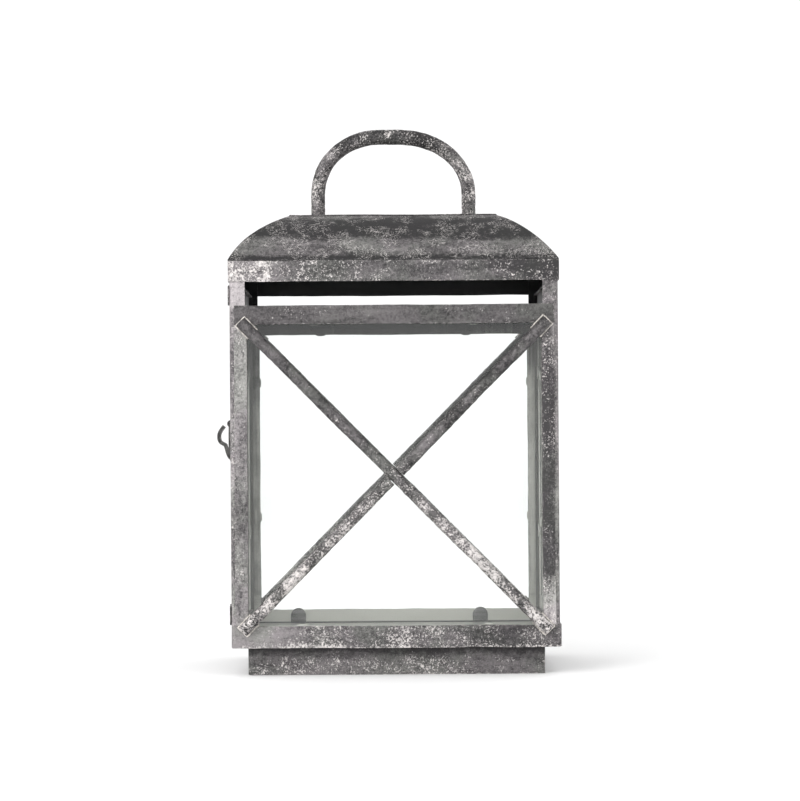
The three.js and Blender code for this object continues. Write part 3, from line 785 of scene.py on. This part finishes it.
# ---- handle ----
def make_handle():
    low, high = corners("handle")
    radius, thicker = 5.6, 0.45
    middle = (low[0] + high[0]) / 2
    leg_x = (high[0] - low[0]) / 2 - radius - 0.1
    bend_x, bend_z = 50.2, 46.2
    top = high[2] - radius - thicker - 0.2
    reach, spring = leg_x - bend_x, top - bend_z

    def arc(side, start, steps):
        angles = [start - math.pi / 2 * part / steps for part in range(steps)]
        return [(middle + side * reach + bend_x * math.cos(angle), 0, spring + bend_z * math.sin(angle))
                for angle in angles]

    path = [(middle - leg_x, 0, low[2] + (spring - low[2]) * part / 30) for part in range(30)]
    path += arc(-1, math.pi, 36)
    path += [(middle - reach + 2 * reach * part / 14, 0, top) for part in range(14)]
    path += arc(1, math.pi / 2, 36)
    path += [(middle + leg_x, 0, spring + (low[2] - spring) * part / 30) for part in range(31)]
    grip = lambda share: radius + thicker * smooth(0.3, 0.42, share) * smooth(0.7, 0.58, share)
    verts, faces = tube(path, grip, 26, rough=0.3, cell=3.6)
    verts = [(x - 0.9 * smooth(385, 412, z), y, z - 0.9 * smooth(0, 26, x) * smooth(62, 30, x) * smooth(395, 412, z))
             for x, y, z in verts]
    paint = {
        "tone_and_shading": lambda x, y, z: -0.55 * smooth(403, 424, z),
        "wear": lambda x, y, z: 0.3 * smooth(424, 400, z) + 0.2 * smooth(20, 60, x),
    }
    outward(piece("handle_rod", verts, faces, "handle", "grip", paint=paint, bend=False))


# ---- CAD pieces that stay, with softened edges ----
KEPT = {
    "floor": ["floor_plate"],
    "inside": ["front_glass_retainer", "back_glass_retainer", "right_glass_retainer", "door_glass_retainer"],
    "upright": ["post_front_right", "post_back_right", "right_frame", "door_frame"],
    "lit_left_post": ["post_front_left", "post_back_left"],
    "steel": ["lower_hinge_post_leaf", "lower_hinge_door_leaf", "lower_hinge_pin", "upper_hinge_post_leaf",
              "upper_hinge_door_leaf", "upper_hinge_pin", "latch_lever", "latch_rivet", "latch_eye"],
    "glass": ["front_glass", "back_glass", "right_glass", "door_glass"],
}


def dress_kept():
    for material, nodes in KEPT.items():
        for node in nodes:
            item = frame["nodes"][node]
            item.data.materials.clear()
            item.data.materials.append(MATERIALS[material])
            if material == "glass":
                continue
            soften = item.modifiers.new("soft_edges", "BEVEL")
            soften.width = (0.3 if material == "steel" else 0.22) * MM
            soften.segments = 2
            soften.limit_method = "ANGLE"
            soften.angle_limit = math.radians(40)


# ---- floor, backdrop and light ----
def stage():
    t = Tree("pale_floor")
    t.finish(Base_Color=(0.95, 0.95, 0.95, 1), Roughness=0.85)
    half, rise, bend = 6.0, 6.0, 1.5
    profile = [(-half, 0.0), (half - bend, 0.0)]
    for step in range(1, 17):
        angle = math.radians(90 * step / 16)
        profile.append((half - bend + bend * math.sin(angle), bend - bend * math.cos(angle)))
    profile.append((half, rise))
    verts = [(x, y, z) for y, z in profile for x in (-half, half)]
    faces = [(2 * i, 2 * i + 1, 2 * i + 3, 2 * i + 2) for i in range(len(profile) - 1)]
    mesh = bpy.data.meshes.new("floor")
    mesh.from_pydata(verts, [], faces)
    mesh.shade_smooth()
    floor = bpy.data.objects.new("floor", mesh)
    floor.data.materials.append(t.material)
    bpy.context.scene.collection.objects.link(floor)


def area(name, at, aim, size, power):
    data = bpy.data.lights.new(name, "AREA")
    data.shape = "RECTANGLE"
    data.size, data.size_y = size
    data.energy = power
    light = bpy.data.objects.new(name, data)
    light.location = at
    light.rotation_euler = (Vector(aim) - Vector(at)).to_track_quat("-Z", "Y").to_euler()
    bpy.context.scene.collection.objects.link(light)


def world(strength):
    scene = bpy.context.scene
    scene.world = bpy.data.worlds.new("studio")
    scene.world.use_nodes = True
    background = scene.world.node_tree.nodes["Background"]
    background.inputs["Color"].default_value = (1, 1, 1, 1)
    background.inputs["Strength"].default_value = strength
    scene.view_settings.view_transform = "Standard"


make_camera()
dress_kept()
make_plinth()
make_band()
make_eave()
make_roof()
make_cap()
make_frames()
make_crosses()
make_clips()
make_handle()
stage()
area("key", (-1.4, -2.0, 1.3), (0, 0, 0.2), (1.4, 1.4), 34)
area("fill", (1.8, -1.6, 0.9), (0, 0, 0.2), (1.2, 1.2), 6)
world(1.12)
